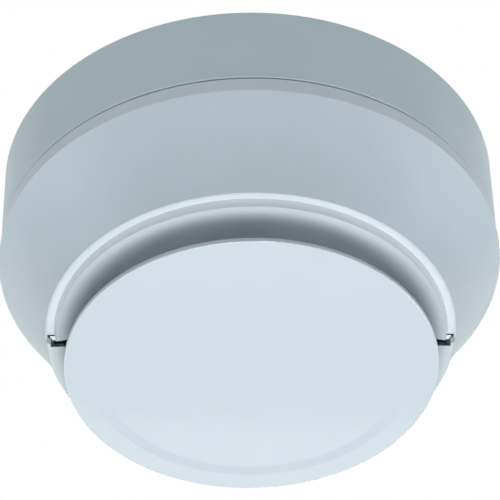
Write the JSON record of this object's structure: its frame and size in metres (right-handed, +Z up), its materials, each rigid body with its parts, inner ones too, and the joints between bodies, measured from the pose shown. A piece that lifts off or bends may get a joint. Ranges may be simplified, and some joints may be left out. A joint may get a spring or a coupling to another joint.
{
  "type": "heat detector",
  "caption": "Round ceiling heat detector: a tapered head with a flat cap below an open air gap, twist-locked into a mounting base.",
  "frame": {"origin": "centre of the base's back face, on the ceiling plane", "axes": "+Z up into the ceiling, so the body hangs towards -Z; +X and -X pass through the two collar notches; the indicator ring is on the -Y side"},
  "size_m": [0.11, 0.11, 0.0542],
  "materials": {
    "base_plastic": "satin moulded",
    "head_plastic": "satin moulded",
    "collar_plastic": "satin moulded",
    "cap_plastic": "smooth satin",
    "diffuser_plastic": "translucent white",
    "housing_plastic": "fine texture",
    "lever_plastic": "moulded",
    "sleeve_plastic": "moulded",
    "switch_plastic": "moulded",
    "dial_plastic": "moulded",
    "rubber_seal": "soft matt",
    "contact_metal": "tinned spring bronze",
    "plated_steel": "zinc plated",
    "screw_steel": "zinc plated",
    "tinned_wire": "tinned",
    "board_laminate": "solder resist",
    "chip_black": "moulded epoxy",
    "can_aluminium": "satin",
    "reed_glass": "clear",
    "bead_epoxy": "dipped epoxy",
    "light_pipe_acrylic": "frosted clear",
    "led_lens": "clear resin"
  },
  "bodies": {
    "base": {"base_shell": "base_plastic", "cable_grommet": "rubber_seal", "terminal_contact_1": "contact_metal", "terminal_contact_2": "contact_metal", "terminal_contact_3": "contact_metal", "terminal_contact_4": "contact_metal", "clamp_plate_1": "plated_steel", "clamp_plate_2": "plated_steel", "clamp_plate_3": "plated_steel", "clamp_plate_4": "plated_steel", "terminal_screws": "screw_steel", "lock_pivot_pin": "screw_steel"},
    "lever": {"lock_lever": "lever_plastic"},
    "head": {"head_shell": "head_plastic", "collar_ring": "collar_plastic", "indicator_ring": "diffuser_plastic", "sensor_cap": "cap_plastic", "rear_housing": "housing_plastic", "housing_screws": "screw_steel", "circuit_board": "board_laminate", "board_screws": "screw_steel", "thermistor_holder": "sleeve_plastic", "thermistor_leads": "tinned_wire", "thermistor_bead": "bead_epoxy", "reference_thermistor": "bead_epoxy", "microcontroller": "chip_black", "bridge_rectifier": "chip_black", "surge_suppressor": "chip_black", "capacitors": "can_aluminium", "chip_resistors": "chip_black", "reed_switch": "reed_glass", "contact_blade_1": "contact_metal", "contact_blade_2": "contact_metal", "contact_blade_3": "contact_metal", "contact_blade_4": "contact_metal", "address_switch_tens": "switch_plastic", "address_switch_units": "switch_plastic", "light_pipe_left": "light_pipe_acrylic", "light_pipe_right": "light_pipe_acrylic", "indicator_led_left": "led_lens", "indicator_led_right": "led_lens"},
    "dial_tens": {"address_dial_tens": "dial_plastic"},
    "dial_units": {"address_dial_units": "dial_plastic"}
  },
  "joints": [
    {"name": "head_twist", "type": "hinge", "parent": "base", "child": "head", "pos_m": [0, 0, -0.02], "axis": [0, 0, -1], "range_deg": [0, 18]},
    {"name": "lever_rock", "type": "hinge", "parent": "base", "child": "lever", "pos_m": [0.02189, 0.04472, -0.0095], "axis": [0.309, 0.9511, 0], "range_deg": [-8.5, 0]},
    {"name": "dial_tens_turn", "type": "hinge", "parent": "head", "child": "dial_tens", "pos_m": [-0.0085, 0.015, -0.016], "axis": [0, 0, 1], "continuous": true},
    {"name": "dial_units_turn", "type": "hinge", "parent": "head", "child": "dial_units", "pos_m": [0.0085, 0.015, -0.016], "axis": [0, 0, 1], "continuous": true}
  ]
}
